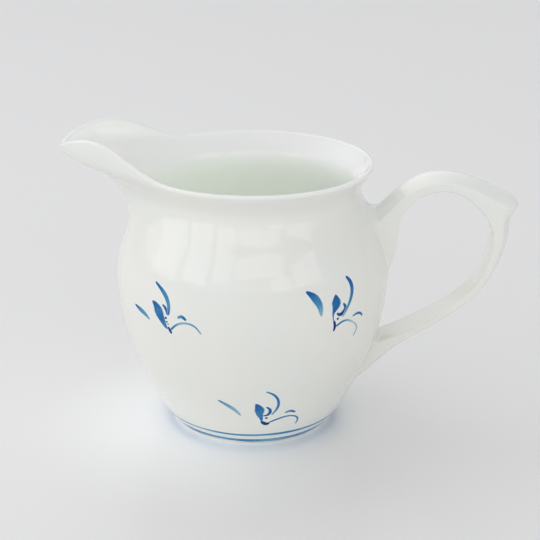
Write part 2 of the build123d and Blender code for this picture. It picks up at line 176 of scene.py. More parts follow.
class Spline:
    """A smooth curve through values at knots (cubic pieces that share slope and curvature)."""

    def __init__(self, knots, values):
        self.knots = np.asarray(knots, float)
        self.values = np.asarray(values, float).reshape(len(knots), -1)
        count = len(self.knots)
        gap = np.diff(self.knots)
        rise = np.diff(self.values, axis=0) / gap[:, None]
        system = np.zeros((count, count))
        target = np.zeros_like(self.values)
        for i in range(1, count - 1):
            system[i, i - 1] = gap[i]
            system[i, i] = 2 * (gap[i - 1] + gap[i])
            system[i, i + 1] = gap[i - 1]
            target[i] = 3 * (gap[i] * rise[i - 1] + gap[i - 1] * rise[i])
        system[0, :2] = (2, 1)
        system[-1, -2:] = (1, 2)
        target[0] = 3 * rise[0]
        target[-1] = 3 * rise[-1]
        self.slopes = np.linalg.solve(system, target)

    def __call__(self, place):
        """Values at a place or an array of places, straight on beyond the ends."""
        place = np.asarray(place, float)
        flat = place.ravel()
        held = np.clip(flat, self.knots[0], self.knots[-1])
        i = np.clip(np.searchsorted(self.knots, held, side="right") - 1, 0, len(self.knots) - 2)
        gap = (self.knots[i + 1] - self.knots[i])[:, None]
        t = ((held - self.knots[i]) / gap[:, 0])[:, None]
        result = (
            (2 * t**3 - 3 * t**2 + 1) * self.values[i]
            + (t**3 - 2 * t**2 + t) * gap * self.slopes[i]
            + (3 * t**2 - 2 * t**3) * self.values[i + 1]
            + (t**3 - t**2) * gap * self.slopes[i + 1]
        )
        nearest_end = np.where(flat < held, 0, -1)
        result += (flat - held)[:, None] * self.slopes[nearest_end]
        if self.values.shape[1] == 1:
            return result.reshape(place.shape)
        return result.reshape(place.shape + (-1,))


def travel(points):
    """Distance along lines of points (the last axis holds a point) from their start to each point."""
    steps = np.linalg.norm(np.diff(points, axis=-2), axis=-1)
    start = np.zeros(steps.shape[:-1] + (1,))
    return np.concatenate([start, np.cumsum(steps, axis=-1)], axis=-1)


def curve_through(points):
    """A Spline through points, with the distance along their chords as its knots."""
    points = np.asarray(points, float)
    return Spline(travel(points), points)


def unit(vectors):
    """Vectors scaled to length 1."""
    return vectors / np.linalg.norm(vectors, axis=-1, keepdims=True)


def smooth_step(x):
    """0 below 0, 1 above 1 and a smooth rise between."""
    x = np.clip(x, 0.0, 1.0)
    return x * x * (3 - 2 * x)


def evenly(points, count):
    """Parameters 0..1 that divide lines of points evenly, one row per line."""
    places = np.linspace(0, 1, points.shape[1])
    share = np.linspace(0, 1, count)
    return np.array([np.interp(share * row[-1], row, places) for row in travel(points)])


# ---- meshes -------------------------------------------------------------------------------
def ring_faces(rows, columns, close_rows=False):
    """Quads between successive closed rings of points."""
    i, j = np.meshgrid(np.arange(rows if close_rows else rows - 1), np.arange(columns), indexing="ij")
    after = (i + 1) % rows
    beside = (j + 1) % columns
    row, next_row = i * columns, after * columns
    quads = np.stack([row + j, row + beside, next_row + beside, next_row + j], -1)
    return quads.reshape(-1, 4).tolist()


def fan_faces(ring, middle, flip):
    """Triangles from a closed ring of point numbers to a middle point."""
    pairs = zip(ring, ring[1:] + ring[:1])
    return [(b, a, middle) if flip else (a, b, middle) for a, b in pairs]


def make_mesh(name, points, faces, material, attributes=None, crease=50.0):
    """A smooth-shaded mesh object from points in millimetres, creased above an angle in degrees."""
    mesh = bpy.data.meshes.new(name)
    mesh.from_pydata((np.asarray(points) * MM).tolist(), [], faces)
    mesh.validate()
    for label, values in (attributes or {}).items():
        layer = mesh.attributes.new(label, "FLOAT", "POINT")
        layer.data.foreach_set("value", np.asarray(values, np.float32))
    mesh.shade_smooth()
    mesh.set_sharp_from_angle(angle=radians(crease))
    mesh.materials.append(material)
    piece = bpy.data.objects.new(name, mesh)
    bpy.context.scene.collection.objects.link(piece)
    return piece


def let_light_through(piece):
    """Keep a spray from dimming the light that shines through the thin wall behind it."""
    piece.visible_shadow = False
    piece.visible_diffuse = False
    return piece


def place(piece, slot, *nodes):
    """Set a piece on the jug in the place of CAD nodes."""
    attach(piece, "root")
    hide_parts(*nodes)


# ---- the wall's outer surface -------------------------------------------------------------
plain_wall = Spline(*zip(*WALL_OUTLINE))
spout_wall = Spline(*zip(*SPOUT_OUTLINE))
rim_line = Spline(*zip(*RIM_LINE))


def wall_radius(spin, height):
    """Outside radius at an angle in radians from the spout's middle, at a height."""
    spin = (np.asarray(spin, float) + pi) % (2 * pi) - pi
    height = np.asarray(height, float)
    plain = plain_wall(height)
    spread = (np.degrees(spin) ** 2 + SPOUT_ROUNDING**2) ** (SPOUT_FADE_POWER / 2)
    fade = np.exp(-(spread - SPOUT_ROUNDING**SPOUT_FADE_POWER) / SPOUT_SPREAD**SPOUT_FADE_POWER)
    growth = smooth_step((height - SPOUT_START) / SPOUT_GROWTH)
    radius = plain + (spout_wall(height) - plain) * fade * growth
    for around, upward, depth in WALL_WAVES:
        radius = radius + depth * np.sin(around * spin + 2 * pi * upward * height + around) * (1 - fade)
    return radius


def wall_point(spin, height):
    """The point of the outside surface at an angle from the spout's middle and a height."""
    radius = wall_radius(spin, height)
    return np.stack([-radius * np.cos(spin), -radius * np.sin(spin), height + 0 * radius], -1)


def wall_normal(spin, height):
    """The outward normal of the outside surface."""
    turn, rise = 0.002, 0.05
    along = wall_point(spin + turn, height) - wall_point(spin - turn, height)
    up = wall_point(spin, height + rise) - wall_point(spin, height - rise)
    return unit(np.cross(along, up))


def spin_of(points):
    """The angle of points from the spout's middle."""
    return np.arctan2(-points[..., 1], -points[..., 0])


def depth_in_wall(points):
    """How far inside the outer surface points lie, measured level."""
    return wall_radius(spin_of(points), points[..., 2]) - np.hypot(points[..., 0], points[..., 1])


def onto_wall(points, lift=0.0):
    """Points moved level onto the outer surface, then lifted off it along its normal."""
    spin = spin_of(points)
    return wall_point(spin, points[..., 2]) + lift * wall_normal(spin, points[..., 2])


def lip_height(spin):
    """Height at which the outer wall turns into the rounded lip, so that its top is the rim line."""
    low = np.full_like(spin, LIP_SEARCH[0])
    high = np.full_like(spin, LIP_SEARCH[1])
    for _ in range(HALVINGS):
        middle = (low + high) / 2
        core = wall_point(spin, middle) - wall_normal(spin, middle) * LIP / 2
        below = core[:, 2] < rim_line(core[:, 0]) - LIP / 2
        low = np.where(below, middle, low)
        high = np.where(below, high, middle)
    return middle


# ---- body ---------------------------------------------------------------------------------
def body_columns():
    """Angles of the mesh columns, closer together at the spout."""
    u = np.arange(COLUMNS) / COLUMNS
    return 2 * pi * u - SPOUT_CROWDING * np.sin(2 * pi * u)


def build_body(material):
    """The cast body: outer wall, rounded lip, inner wall, floor and foot as one closed skin."""
    spin = body_columns()
    top = lip_height(spin)
    fine = np.linspace(0, 1, FINE)
    lower_line = wall_point(np.zeros((1, FINE)), FOOT_TOP + (RING_TOP - FOOT_TOP) * fine[None])
    lower = FOOT_TOP + (RING_TOP - FOOT_TOP) * evenly(lower_line, LOWER_ROWS)[0]
    upper_line = wall_point(spin[:, None], RING_TOP + (top[:, None] - RING_TOP) * fine[None])
    upper = RING_TOP + (top[:, None] - RING_TOP) * evenly(upper_line, UPPER_ROWS)
    heights = np.concatenate([np.broadcast_to(lower[:, None], (LOWER_ROWS, COLUMNS)), upper.T[1:]])
    outside = wall_point(spin[None], heights)
    normals = wall_normal(spin[None], heights)

    # the lip: half a round between the outer and the inner wall, square to the rim's run
    core = outside[-1] - normals[-1] * LIP / 2
    run = np.roll(core, -1, 0) - np.roll(core, 1, 0)
    upward = unit(np.cross(normals[-1], run))
    upward *= np.sign(upward[:, 2:])
    turn = np.linspace(0, pi, LIP_STEPS + 1)[1:-1, None, None]
    lip = core + (normals[-1] * np.cos(turn) + upward * np.sin(turn)) * LIP / 2

    # inside: the wall moved in by its thickness, then the floor
    thick = LIP + (WALL - LIP) * smooth_step((top - heights) / LIP_TAPER)
    inside = (outside - normals * thick[..., None])[::-1]
    inside = inside[heights[::-1].mean(1) > FLOOR_JOIN]
    wall_r = np.hypot(inside[-3:, :, 0], inside[-3:, :, 1]).mean(1)
    wall_z = inside[-3:, :, 2].mean(1)
    floor_line = curve_through(list(zip(wall_r, wall_z)) + FLOOR)
    start = floor_line.knots[2]
    floor = floor_line(np.linspace(start, floor_line.knots[-1], FLOOR_ROWS + 1)[1:])

    # the foot's rounded outer edge, then the underside
    step = 0.01
    low_slope = (plain_wall(FOOT_TOP + step) - plain_wall(FOOT_TOP)) / step
    lean = -np.arctan(low_slope)
    edge_radius = FOOT_TOP / (1 + np.sin(lean))
    centre_r = WALL_OUTLINE[0][1] - edge_radius * np.cos(lean)
    edge = [
        (centre_r + edge_radius * np.cos(a), edge_radius + edge_radius * np.sin(a))
        for a in np.linspace(lean, -pi / 2, EDGE_STEPS + 1)[1:]
    ]
    under = np.array(edge + UNDERSIDE)

    def level_rings(profile):
        around = np.stack([-np.cos(spin), -np.sin(spin)], -1)
        return np.stack([np.concatenate([r * around, np.full((COLUMNS, 1), z)], 1) for r, z in profile])

    rings = np.concatenate([level_rings(under[::-1]), outside, lip, inside, level_rings(floor)])
    points = rings.reshape(-1, 3)
    rows = len(rings)
    bottom, well = len(points), len(points) + 1
    points = np.concatenate([points, [[0, 0, under[-1][1]], [0, 0, floor[-1][1]]]])
    first = list(range(COLUMNS))
    last = [(rows - 1) * COLUMNS + j for j in range(COLUMNS)]
    faces = ring_faces(rows, COLUMNS)
    faces += fan_faces(first, bottom, flip=True)
    faces += fan_faces(last, well, flip=False)

    counts = [len(under), len(outside), len(lip), len(inside) + len(floor)]
    inner = np.repeat([0.0, 0.0, 0.5, 1.0], counts)
    inner = np.append(np.repeat(inner, COLUMNS), [0.0, 1.0])
    radius = np.hypot(points[:, 0], points[:, 1])
    bare = smooth_step((BARE_HEIGHT - points[:, 2]) / BARE_FADE[1])
    bare *= smooth_step((BARE_RING[1] - radius) / BARE_FADE[0])
    bare *= smooth_step((radius - BARE_RING[0]) / BARE_FADE[0])
    return make_mesh("porcelain_body", points, faces, material, {"inner": inner, "bare": bare})


# ---- handle -------------------------------------------------------------------------------
def half_section(shape, shares):
    """A half section read at shares of its length: (distance from the middle, depth)."""
    line = curve_through([(share * HALF_STRAP, depth) for share, depth in shape])
    return line(shares * line.knots[-1])


def section_loop():
    """The closed cross-section: across (mm), depth (mm) and whether it hangs from the crest."""
    crest = half_section(CREST_SHAPE, 1 - (1 - np.linspace(0, 1, CREST_COLUMNS)) ** EDGE_CROWDING)
    inner = half_section(INNER_SHAPE, np.linspace(0, 1, INNER_COLUMNS) ** EDGE_CROWDING)
    near = [(y, depth, 1.0) for y, depth in crest] + [(y, depth, 0.0) for y, depth in inner]
    far = [(-y, depth, kind) for y, depth, kind in near[-2:0:-1]]
    return np.array(near + far)


ribs = np.array(RIBS)
strap = Spline((travel(ribs[:, :2]) + travel(ribs[:, 2:])) / 2, ribs)
STRAP_LENGTH = strap.knots[-1]
LOOP = section_loop()


def fullness(across):
    """1 in the middle of the strap, falling in a quarter round to 0 at its edges."""
    return np.sqrt(np.clip(1 - (across / HALF_STRAP) ** 2, 0, 1))


def tongue_amount(length):
    """How far the thumb rest pushes the crest out at a length along the strap."""
    fine = np.linspace(0, STRAP_LENGTH, TONGUE_SAMPLES)
    away = np.linalg.norm(strap(fine)[:, :2] - TONGUE_PLACE, axis=1)
    middle = fine[away.argmin()]
    past = length - middle
    fade = np.where(past > 0, past / TONGUE_ABOVE, past / TONGUE_BELOW)
    return TONGUE_REACH * np.exp(-(fade**2))


def strap_points(length, column):
    """Points of the handle's surface at lengths along the strap, for loop columns."""
    length, column = np.broadcast_arrays(length, column)
    crest_x, crest_z, inner_x, inner_z = np.moveaxis(strap(length), -1, 0)
    across, depth, hangs = np.moveaxis(LOOP[column], -1, 0)
    thick = np.hypot(crest_x - inner_x, crest_z - inner_z)
    up_x, up_z = (crest_x - inner_x) / thick, (crest_z - inner_z) / thick
    depth = depth * np.clip(thick / FULL_THICKNESS, LEAST_SHAPE, 1.0)
    push = tongue_amount(length) * fullness(across) * hangs
    x = np.where(hangs > 0.5, crest_x - depth * up_x, inner_x + depth * up_x) + push
    z = np.where(hangs > 0.5, crest_z - depth * up_z, inner_z + depth * up_z) + TONGUE_RISE * push
    return np.stack([x, across, z], -1)


def crossing(level, from_end):
    """For each loop column, the length at which it lies level mm inside the wall, from one end."""
    reach = np.linspace(0, ROOT_SEARCH, ROOT_SAMPLES)
    found = []
    for j in range(len(LOOP)):
        length = STRAP_LENGTH - reach if from_end else reach
        depth = depth_in_wall(strap_points(length, np.full(len(reach), j)))
        i = int(np.argmax(depth < level))
        part = (depth[i - 1] - level) / (depth[i - 1] - depth[i])
        found.append(length[i - 1] + part * (length[i] - length[i - 1]))
    return np.array(found)


def build_handle(material):
    """The strap handle with its thumb rest, its ends cut to the body."""
    start = crossing(ROOT_DEPTH, from_end=False)
    finish = crossing(ROOT_DEPTH, from_end=True)
    rows = ceil(STRAP_LENGTH / ROW_STEP)
    count = len(LOOP)
    even = np.linspace(0, STRAP_LENGTH, rows)[:, None]
    lengths = np.where(even < LOW_ZONE, start + (LOW_ZONE - start) * even / LOW_ZONE, even)
    high_zone = STRAP_LENGTH - HIGH_ZONE
    share = (even - high_zone) / HIGH_ZONE
    lengths = np.where(share > 0, high_zone + (finish - high_zone) * share, lengths)
    rings = strap_points(lengths, np.arange(count))
    points = np.concatenate([rings.reshape(-1, 3), [rings[0].mean(0), rings[-1].mean(0)]])
    faces = ring_faces(rows, count)
    faces += fan_faces(list(range(count)), rows * count, flip=True)
    faces += fan_faces([(rows - 1) * count + j for j in range(count)], rows * count + 1, flip=False)
    return make_mesh("porcelain_handle", points, faces, material)


# ---- slip joints --------------------------------------------------------------------------
def build_slip(name, material, from_end, reach):
    """The wiped fillet of slip round one root: a closed ring with a hollow-curved face."""
    count = len(LOOP)
    column = np.arange(count)
    reach = SIDE_SLIP_REACH + (reach - SIDE_SLIP_REACH) * fullness(LOOP[:, 0])
    surface = crossing(0.0, from_end)
    outward = -1.0 if from_end else 1.0
    corner = strap_points(surface, column)
    steps = np.linspace(0, reach.max() * SLIP_SEARCH, SLIP_SAMPLES)
    columns = np.repeat(column[:, None], SLIP_SAMPLES, 1)
    lines = strap_points(surface[:, None] + outward * steps[None], columns)
    pick = np.array([np.interp(wanted, row, steps) for wanted, row in zip(reach, travel(lines))])
    on_handle = strap_points(surface + outward * pick, column)
    beside = np.roll(corner, -1, 0) - np.roll(corner, 1, 0)
    along = on_handle - corner
    side = unit(np.cross(beside, along)) * outward
    wall_side = wall_normal(spin_of(corner), corner[:, 2])
    away = unit(side - (side * wall_side).sum(1, keepdims=True) * wall_side)
    on_body = onto_wall(corner + away * reach[:, None], lift=-SLIP_SINK)
    on_handle = on_handle - SLIP_SINK * side
    t = np.linspace(0, 1, SLIP_STEPS + 1)[:, None, None]
    a = on_handle + SLIP_HOLD * (corner - on_handle)
    b = on_body + SLIP_HOLD * (corner - on_body)
    face = (1 - t) ** 3 * on_handle + 3 * (1 - t) ** 2 * t * a + 3 * (1 - t) * t**2 * b + t**3 * on_body
    hidden = (corner - SLIP_DEPTH * side - SLIP_DEPTH * wall_side)[None]
    rings = np.concatenate([face, hidden])
    faces = ring_faces(len(rings), count, close_rows=True)
    if not from_end:
        faces = [quad[::-1] for quad in faces]
    return make_mesh(name, rings.reshape(-1, 3), faces, material)


# ---- painted decoration -------------------------------------------------------------------
def film_mesh(line_left, line_right, closed):
    """A thin film on the wall between two edge lines: points, faces, and place across (-1..1)."""
    share = np.linspace(0, 1, FILM_COLUMNS)[None, :, None]
    flat = line_left[:, None] * (1 - share) + line_right[:, None] * share
    top = onto_wall(flat, FILM)
    under = onto_wall(flat, -FILM_SINK)[:, ::-1]
    rings = np.concatenate([top, under], 1)
    rows, count = rings.shape[:2]
    points = rings.reshape(-1, 3)
    faces = ring_faces(rows, count, close_rows=closed)
    if not closed:
        faces.append(list(range(count))[::-1])
        faces.append([(rows - 1) * count + j for j in range(count)])
    side = np.concatenate([np.linspace(-1, 1, FILM_COLUMNS), np.linspace(1, -1, FILM_COLUMNS)])
    return points, faces, np.tile(side, rows)


def waves(spin, phase, terms):
    """A sum of waves round the jug, each as (waves round, shift in phases, depth)."""
    return sum(depth * np.sin(around * spin + shift * phase) for around, shift, depth in terms)


def band(name, node, material, phase):
    """A hand-turned line round the foot: the brush sways a little and carries uneven paint."""
    low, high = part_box(node)
    middle = (low.z + high.z) / 2 / MM
    half = (high.z - low.z) / 2 / MM * BRUSH_GROWTH + BAND_SPREAD[node]
    spin = np.linspace(0, 2 * pi, BAND_COLUMNS + 1)[:-1]
    sway = waves(spin, phase, BAND_SWAY)
    swell = 1 + waves(spin, phase, BAND_SWELL)
    lower = wall_point(spin, middle + sway - half * swell)
    upper = wall_point(spin, middle + sway + half * swell)
    points, faces, side = film_mesh(upper, lower, closed=True)
    load = np.repeat(0.5 + waves(spin, phase, BAND_LOAD), len(points) // len(spin))
    return make_mesh(name, points, faces, material, {"side": side, "ink": load})


# Orchid sprays on a plane that touches the wall: each brush stroke is a list of
# (right, up, width, ink) from tip to tail, with ink 0 for bare porcelain and 1 for full cobalt.
LEFT_SPRAY = {
    "leaf": [
        (-13.0, 0.3, 0.35, 0.75), (-10.3, -0.5, 1.25, 0.6), (-8.0, -1.3, 1.0, 0.5),
        (-6.4, -2.3, 0.4, 0.35),
    ],
    "bud": [
        (-5.1, 3.8, 0.3, 0.85), (-3.6, 2.8, 2.0, 0.78), (-2.6, 1.3, 2.9, 0.7), (-1.6, -0.6, 2.2, 0.7),
        (-0.4, -2.4, 1.1, 0.6), (0.3, -3.4, 0.3, 0.6),
    ],
    "stamen": [(-1.2, 3.7, 0.3, 0.7), (-0.1, 2.9, 0.65, 0.9), (0.6, 0.9, 0.3, 0.8)],
    "petal": [
        (-4.3, 9.4, 0.3, 0.85), (-1.6, 7.7, 0.95, 0.65), (0.2, 5.9, 1.2, 0.55), (1.0, 4.0, 1.0, 0.5),
        (0.9, 1.0, 0.35, 0.75),
    ],
    "stem": [(0.6, -2.5, 0.4, 1.1), (1.2, -3.5, 0.7, 1.2), (1.7, -4.5, 0.35, 1.1)],
    "blade": [
        (1.6, -3.2, 0.35, 0.8), (3.2, -1.6, 0.4, 0.5), (5.6, -0.4, 0.4, 0.35), (9.2, -0.7, 0.35, 0.45),
        (11.1, -2.8, 0.25, 0.3),
    ],
    "sprig": [(4.0, 0.8, 0.3, 0.45), (5.3, 1.5, 0.75, 0.55), (6.8, 0.6, 0.45, 1.0)],
    "dot_1": [(-0.25, 0.25, 0.4, 1.1), (0.0, 0.0, 0.75, 1.2), (0.25, -0.25, 0.4, 1.1)],
    "dot_2": [(0.1, -0.9, 0.3, 0.9), (0.3, -1.1, 0.5, 0.95), (0.5, -1.3, 0.3, 0.9)],
    "dot_3": [(0.55, -1.55, 0.25, 0.9), (0.7, -1.7, 0.4, 0.9), (0.85, -1.85, 0.25, 0.9)],
}
RIGHT_SPRAY = {
    "leaf": [(-9.1, 9.1, 0.4, 0.85), (-6.9, 7.2, 1.8, 0.7), (-5.4, 4.6, 1.7, 0.5), (-4.9, 1.4, 0.35, 0.3)],
    "bud": [
        (0.0, 6.8, 0.25, 0.95), (0.0, 5.6, 1.8, 0.85), (0.05, 4.4, 3.0, 0.72), (-0.3, 3.0, 2.0, 0.7),
        (-0.9, 1.7, 0.7, 0.65), (-0.4, -2.0, 0.3, 0.6),
    ],
    "hook": [
        (2.5, 3.7, 0.4, 0.75), (3.3, 2.4, 0.8, 0.85), (2.4, 1.0, 0.9, 1.2), (0.9, 0.8, 0.6, 1.0),
        (0.2, 1.4, 0.3, 0.7),
    ],
    "petal": [
        (4.3, 10.8, 0.3, 0.95), (5.6, 9.2, 0.95, 0.8), (6.1, 7.0, 1.05, 0.68), (5.1, 3.8, 0.8, 0.6),
        (2.3, -0.3, 0.25, 0.3),
    ],
    "stem": [(-0.7, -0.7, 0.4, 1.1), (-0.3, -2.5, 0.65, 1.25), (-0.6, -4.0, 0.35, 1.1)],
    "blade": [
        (0.1, -2.6, 0.35, 0.8), (3.2, -1.6, 0.4, 0.5), (6.4, -2.9, 0.35, 0.2), (8.4, -5.3, 0.35, 0.3),
        (7.3, -7.7, 0.25, 0.25),
    ],
    "sprig": [(6.2, -1.1, 0.25, 0.45), (7.9, -0.8, 0.5, 0.6), (9.4, -1.1, 0.5, 0.7), (10.5, -2.3, 0.35, 0.5)],
    "dot_1": [(0.3, -0.2, 0.45, 0.9), (0.6, -0.4, 0.85, 1.1), (0.9, -0.6, 0.45, 1.1)],
}
LOW_SPRAY = {
    "leaf": [
        (-13.7, 6.0, 0.35, 0.55), (-11.3, 4.7, 1.0, 0.42), (-9.0, 3.0, 0.95, 0.35),
        (-7.2, 0.8, 0.35, 0.28),
    ],
    "bud": [
        (-3.2, 6.3, 0.5, 0.9), (-2.6, 5.2, 1.5, 0.8), (-2.1, 3.8, 2.7, 0.65), (-1.9, 1.8, 1.8, 0.62),
        (-1.4, 0.0, 0.9, 0.65), (-1.2, -1.3, 0.3, 0.7),
    ],
    "hook": [
        (-0.2, 4.9, 0.35, 0.7), (0.9, 3.7, 0.6, 0.8), (0.9, 2.1, 0.7, 0.85), (0.1, 1.2, 0.45, 1.1),
        (-1.0, 1.1, 0.25, 0.9),
    ],
    "petal": [
        (-0.6, 11.3, 0.25, 0.5), (1.3, 10.2, 0.5, 0.6), (3.0, 7.6, 0.55, 0.65), (3.1, 4.4, 0.55, 0.6),
        (1.5, 1.3, 0.25, 0.45),
    ],
    "stem": [(-1.4, -1.3, 0.4, 1.0), (-0.6, -2.2, 1.0, 1.3), (0.2, -2.7, 1.1, 1.3), (1.2, -2.1, 0.4, 1.1)],
    "blade": [
        (1.1, -2.0, 0.35, 0.9), (4.6, -0.5, 0.45, 0.65), (7.4, -0.5, 0.45, 0.5), (9.4, -2.4, 0.35, 0.55),
        (9.0, -5.1, 0.25, 0.45),
    ],
    "sprig": [(5.3, 1.4, 0.3, 0.55), (7.0, 1.8, 0.65, 0.65), (8.5, 0.7, 0.35, 0.75)],
    "dot_1": [(-0.35, 0.0, 0.35, 0.9), (0.1, 0.0, 0.6, 1.1), (0.55, 0.0, 0.35, 0.9)],
}
# Where each spray's plane touches: degrees from the handle, and height.
SPRAYS = {
    "spray_left": (-123.8, 43.3, LEFT_SPRAY),
    "spray_right": (-51.9, 43.6, RIGHT_SPRAY),
    "spray_low": (-79.9, 11.9, LOW_SPRAY),
    "spray_back_left": (56.2, 43.3, LEFT_SPRAY),
    "spray_back_right": (128.1, 43.6, RIGHT_SPRAY),
    "spray_back_low": (100.1, 11.9, LOW_SPRAY),
}
STROKE_STEP = 0.3           # mesh spacing along a stroke
FEWEST_ROWS = 9             # mesh rows of the shortest stroke
LEAST_WIDTH = 0.12          # narrowest touch of the brush
TIP_START = 0.12            # squared share of the width at a stroke's very end,
TIP_GROWTH = 2.2            # and its growth for each width of length
LANDING_STEPS = 8           # a mark is moved from its plane onto the wall in these steps,
LANDING_SHARE = 0.95        # each over this share of the way left
NUDGE = 0.01                # step along a stroke to find its direction
BRUSH_LAYER = 0.002         # each stroke of a spray lies this much higher than the one before


def build_spray(name, node, material):
    """All the brush strokes of a spray, laid on the wall as thin films."""
    around, height, strokes = SPRAYS[node]
    around = radians(around)
    radius = float(wall_radius(around - pi, height))
    slope = float(wall_radius(around - pi, height + 1) - wall_radius(around - pi, height - 1)) / 2
    origin = np.array([radius * cos(around), radius * sin(around), height])
    right = np.array([-sin(around), cos(around), 0.0])
    facing = unit(np.array([cos(around), sin(around), -slope]))
    up = np.cross(facing, right)
    all_points, all_faces = [], []
    marks = {"side": [], "ink": [], "streak": []}
    total = 0
    for number, stroke in enumerate(strokes.values()):
        stroke = np.array(stroke)
        line = Spline(travel(stroke[:, :2]), stroke)
        length = line.knots[-1]
        count = max(FEWEST_ROWS, ceil(length / STROKE_STEP))
        s = np.linspace(0, length, count)
        x, y, width, ink = line(s).T
        width = np.maximum(width, LEAST_WIDTH) * BRUSH_GROWTH + BRUSH_SPREAD
        ahead = unit(line(s + NUDGE)[:, :2] - line(s - NUDGE)[:, :2])
        # the ends are rounded off like a brush's touch
        end = np.minimum(s, length - s) / width
        half = width / 2 * np.sqrt(np.clip(TIP_START + end * TIP_GROWTH, 0, 1))
        edges = []
        for way in (1, -1):
            flat_x = x - way * ahead[:, 1] * half
            flat_y = y + way * ahead[:, 0] * half
            spot = origin + flat_x[:, None] * right + flat_y[:, None] * up
            for _ in range(LANDING_STEPS):
                spot = spot + facing * (depth_in_wall(spot) * LANDING_SHARE)[:, None]
            edges.append(spot)
        points, faces, side = film_mesh(edges[0], edges[1], closed=False)
        points = points + number * BRUSH_LAYER * facing
        per_row = len(points) // count
        all_points.append(points)
        all_faces += [[corner + total for corner in face] for face in faces]
        total += len(points)
        marks["side"].append(side)
        marks["ink"].append(np.repeat(ink, per_row))
        marks["streak"].append(np.repeat(s, per_row))
    attributes = {label: np.concatenate(values) for label, values in marks.items()}
    return make_mesh(name, np.concatenate(all_points), all_faces, material, attributes)


# ---- materials ----------------------------------------------------------------------------
def shade(red, green, blue):
    """A display colour (0..255) as the linear colour that shaders use."""
    levels = np.array([red, green, blue]) / 255
    linear = np.where(levels <= 0.04045, levels / 12.92, ((levels + 0.055) / 1.055) ** 2.4)
    return (*linear.tolist(), 1.0)


class Nodes:
    """Adds shader nodes and joins them."""

    def __init__(self, owner):
        self.owner = owner
        self.tree = owner.node_tree
        self.tree.nodes.clear()

    def add(self, kind, settings=None, **inputs):
        """A node; inputs are values or other nodes' outputs, by input name or by number as i0, i1."""
        node = self.tree.nodes.new(kind)
        for key, value in (settings or {}).items():
            setattr(node, key, value)
        for key, value in inputs.items():
            numbered = key[0] == "i" and key[1:].isdigit()
            socket = node.inputs[int(key[1:]) if numbered else key.replace("_", " ")]
            if isinstance(value, bpy.types.NodeSocket):
                self.tree.links.new(value, socket)
            else:
                socket.default_value = value
        return node

    def place(self):
        """Object coordinates, in metres in the frame."""
        return self.add("ShaderNodeTexCoord").outputs["Object"]

    def value(self, label):
        """A number stored on the mesh's points."""
        return self.add("ShaderNodeAttribute", {"attribute_name": label}).outputs["Fac"]

    def noise(self, scale, detail=2.0, roughness=0.5, vector=None):
        """Smooth noise, 0..1."""
        node = self.add(
            "ShaderNodeTexNoise", Vector=vector or self.place(), Scale=scale, Detail=detail,
            Roughness=roughness)
        return node.outputs["Fac"]

    def math(self, operation, first, second=0.0, clamp=False):
        """Arithmetic on two numbers."""
        node = self.add("ShaderNodeMath", {"operation": operation, "use_clamp": clamp}, i0=first, i1=second)
        return node.outputs[0]

    def blend(self, amount, first, second, kind="MIX"):
        """A mix of two colours."""
        settings = {"data_type": "RGBA", "blend_type": kind}
        return self.add("ShaderNodeMix", settings, i0=amount, i6=first, i7=second).outputs[2]

    def ramp(self, amount, stops):
        """Colours along a number, as (position, colour) stops."""
        node = self.add("ShaderNodeValToRGB", Fac=amount)
        elements = node.color_ramp.elements
        elements[0].position, elements[0].color = stops[0]
        elements[1].position, elements[1].color = stops[-1]
        for position, colour in stops[1:-1]:
            elements.new(position).color = colour
        return node.outputs["Color"]

    def finish(self, surface):
        """Join a shader to the material's output."""
        self.add("ShaderNodeOutputMaterial", Surface=surface)
        return self.owner


def new_material(name):
    """The nodes of a new, empty material."""
    material = bpy.data.materials.new(name)
    material.use_nodes = True
    return Nodes(material)


PORCELAIN_WHITE = shade(243, 242, 236)
PORCELAIN_COOL = shade(240, 242, 237)
# greener white deep inside: pooled glaze, with painted shade of the hollow
GLAZE_POOL_AND_SHADE = shade(236, 243, 233)
BARE_CLAY = shade(226, 219, 206)
BARE_GRAIN = shade(205, 196, 180)
# How the paint tints the white, from no ink to the most.
INK_TINTS = [
    (0.0, shade(255, 255, 255)),
    (0.16, shade(176, 212, 230)),
    (0.34, shade(82, 160, 204)),
    (0.50, shade(14, 112, 188)),
    (0.70, shade(0, 78, 162)),
    (1.0, shade(0, 24, 112)),
]
FULL_INK = 1.4              # the ink that gives the last tint
PAINT_SHINE = 0.3           # specular level of the glaze over paint
GLAZE_ROUGHNESS = 0.035
CLAY_ROUGHNESS = 0.7        # what the bare foot has more than the glaze
GLAZE_IOR = 1.52
POOL_AND_SHADE_TOP = 0.078            # height in metres under which the inside turns greener, from pooled glaze and painted shade,
POOL_AND_SHADE_GROWTH = 22.0          # and how fast it does, for each metre
THROUGH = 0.95              # share of the inside's colour that is light from within the wall
OUTER_CARRY = 0.0012        # how far light is carried in the clay, in metres, outside and inside,
INNER_CARRY = 0.008
CARRY_TINT = (0.93, 1.1, 0.85)      # times this for red, green and blue
# Patterns, as noise scales for each metre, and the bumps' depths in metres.
DRIFT_SCALE = 38.0          # drift of the white
GRAIN_SCALE = 1500.0        # grain of the bare clay
WASH_SCALE = 420.0          # patches in the paint
WAVE_SCALE = 95.0           # slow waves of the glaze
WAVE_DEPTH = 0.00005
PEEL_SCALE = 620.0          # orange peel of the glaze
PEEL_DEPTH = 0.000003
HAIR_ACROSS = 3.2           # hair lines of the brush: noise scale over half a stroke's width,
HAIR_ALONG = 0.35           # and for each mm of its length
GATHER = 0.25               # how much more ink stands at a stroke's edge
EDGE_FADE = (1.0, 0.62)     # where the ink begins and is full, as shares of the half width,
EDGE_RAGGED = 0.3           # and how ragged that edge is


